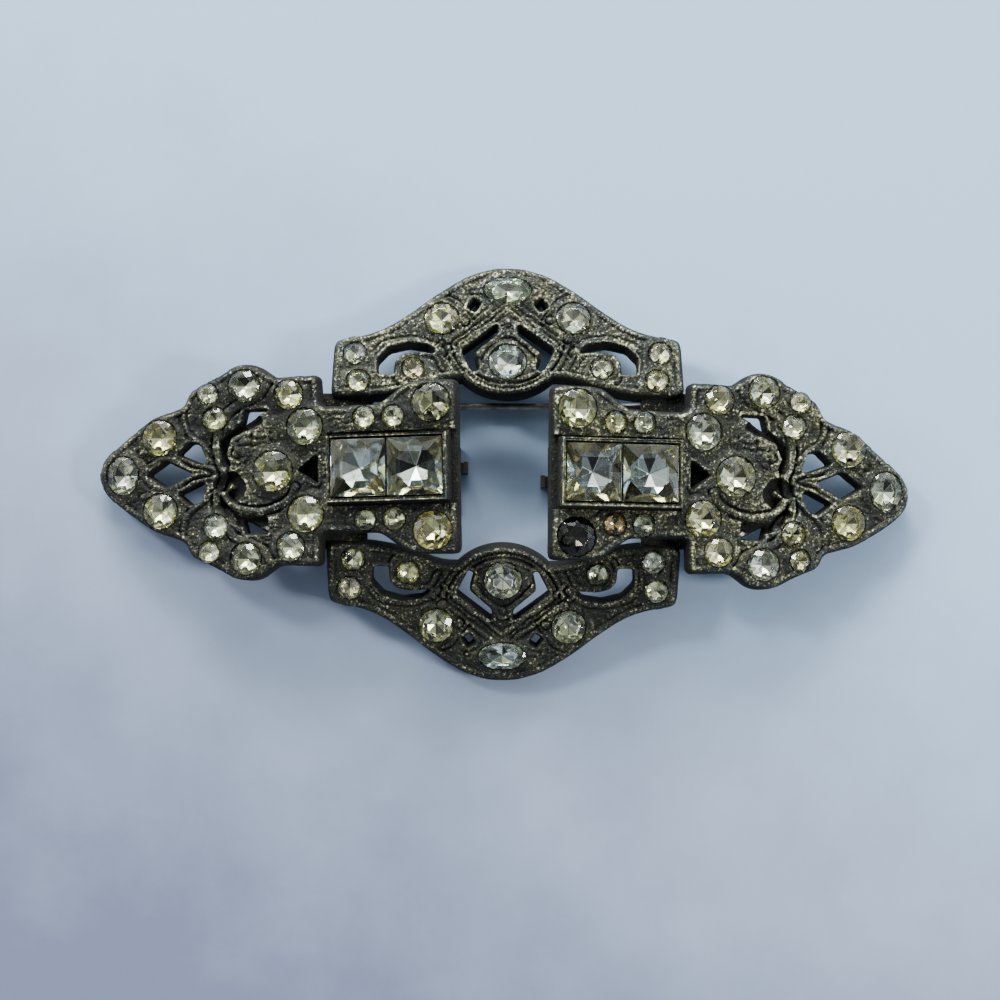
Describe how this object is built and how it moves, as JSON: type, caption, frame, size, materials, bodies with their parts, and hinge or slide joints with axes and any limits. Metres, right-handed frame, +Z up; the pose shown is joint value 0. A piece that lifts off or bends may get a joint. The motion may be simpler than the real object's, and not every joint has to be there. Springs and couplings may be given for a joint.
{
  "type": "double dress clip brooch",
  "caption": "Two pointed dress clips set with cut glass stones, sliding onto one open brooch frame with a pin at the back.",
  "frame": {"origin": "on the surface that the brooch lies on, under the middle of its outer box", "axes": "+X along the brooch to the right clip's tip, +Y to the top arch, +Z up to the viewer"},
  "size_m": [0.0778, 0.04, 0.0103],
  "materials": {
    "cast_metal": "aged cast white metal, dull grey-brown with worn bright edges",
    "cut_glass": "clear cut glass with a yellowed foil back",
    "pin_steel": "tarnished drawn wire",
    "spring_steel": "dark rolled strip"
  },
  "bodies": {
    "frame": {"brooch_frame": "cast_metal", "brooch_pin": "pin_steel", "frame_small_stones": "cut_glass", "top_oval_stone": "cut_glass", "top_centre_stone": "cut_glass", "top_left_shoulder_stone": "cut_glass", "top_right_shoulder_stone": "cut_glass", "bottom_oval_stone": "cut_glass", "bottom_centre_stone": "cut_glass", "bottom_left_shoulder_stone": "cut_glass", "bottom_right_shoulder_stone": "cut_glass"},
    "left_clip": {"left_clip": "cast_metal", "left_clip_lever": "spring_steel", "left_small_stones": "cut_glass", "left_tip_stone": "cut_glass", "left_upper_point_stone": "cut_glass", "left_lower_point_stone": "cut_glass", "left_upper_lobe_stone": "cut_glass", "left_lower_lobe_stone": "cut_glass", "left_upper_rosette_stone": "cut_glass", "left_lower_rosette_stone": "cut_glass", "left_centre_stone": "cut_glass", "left_upper_flare_stone": "cut_glass", "left_lower_flare_stone": "cut_glass", "left_inner_square_stone": "cut_glass", "left_outer_square_stone": "cut_glass"},
    "right_clip": {"right_clip": "cast_metal", "right_clip_lever": "spring_steel", "right_small_stones": "cut_glass", "right_tip_stone": "cut_glass", "right_upper_point_stone": "cut_glass", "right_lower_point_stone": "cut_glass", "right_upper_lobe_stone": "cut_glass", "right_lower_lobe_stone": "cut_glass", "right_upper_rosette_stone": "cut_glass", "right_lower_rosette_stone": "cut_glass", "right_centre_stone": "cut_glass", "right_upper_flare_stone": "cut_glass", "right_lower_flare_stone": "cut_glass", "right_inner_square_stone": "cut_glass", "right_outer_square_stone": "cut_glass"}
  },
  "joints": [
    {"name": "left_clip_slide", "type": "slide", "parent": "frame", "child": "left_clip", "axis": [-1, 0, 0], "range_m": [0, 0.014]},
    {"name": "right_clip_slide", "type": "slide", "parent": "frame", "child": "right_clip", "axis": [1, 0, 0], "range_m": [0, 0.014]}
  ]
}
